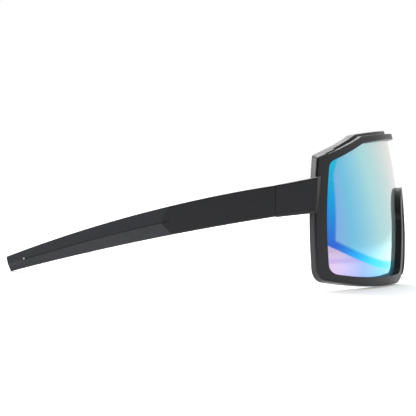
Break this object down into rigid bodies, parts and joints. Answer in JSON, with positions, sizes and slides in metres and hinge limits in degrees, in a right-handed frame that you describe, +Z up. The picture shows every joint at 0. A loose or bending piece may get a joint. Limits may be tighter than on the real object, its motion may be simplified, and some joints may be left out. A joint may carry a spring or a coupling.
{
  "type": "sports glasses",
  "caption": "Shield sports glasses for mountain sun: full moulded rim around one mirrored wrap lens with a nose notch, straight folding temples with rubber tips, nose pads.",
  "frame": {"origin": "on the table under the middle of the bounding box, with the glasses open and resting on the lower rim and the two temple tips", "axes": "+Z up, the glasses face -Y, +X is the wearer's left"},
  "size_m": [0.1424, 0.1621, 0.0654],
  "materials": {
    "nylon": "matte moulded",
    "tip_rubber": "soft matte",
    "pad_rubber": "soft matte",
    "mirror_lens": "blue to green mirror coating on polycarbonate",
    "steel": "plain"
  },
  "bodies": {
    "front": {"front_frame": "nylon", "shield_lens": "mirror_lens", "nose_pad_arm_left": "nylon", "nose_pad_arm_right": "nylon", "nose_pad_left": "pad_rubber", "nose_pad_right": "pad_rubber", "frame_hinge_leaf_left": "steel", "frame_hinge_leaf_right": "steel", "hinge_screw_left": "steel", "hinge_screw_right": "steel", "frame_leaf_screws_left": "steel", "frame_leaf_screws_right": "steel"},
    "temple_left": {"temple_arm_left": "nylon", "temple_tip_left": "tip_rubber", "temple_hinge_leaf_left": "steel", "temple_leaf_screws_left": "steel"},
    "temple_right": {"temple_arm_right": "nylon", "temple_tip_right": "tip_rubber", "temple_hinge_leaf_right": "steel", "temple_leaf_screws_right": "steel"}
  },
  "joints": [
    {"name": "temple_left_fold", "type": "hinge", "parent": "front", "child": "temple_left", "pos_m": [0.0616, -0.032, 0.035], "axis": [0, 0.0523, 0.9986], "range_deg": [0, 90]},
    {"name": "temple_right_fold", "type": "hinge", "parent": "front", "child": "temple_right", "pos_m": [-0.0616, -0.032, 0.035], "axis": [0, -0.0523, -0.9986], "range_deg": [0, 85]}
  ]
}
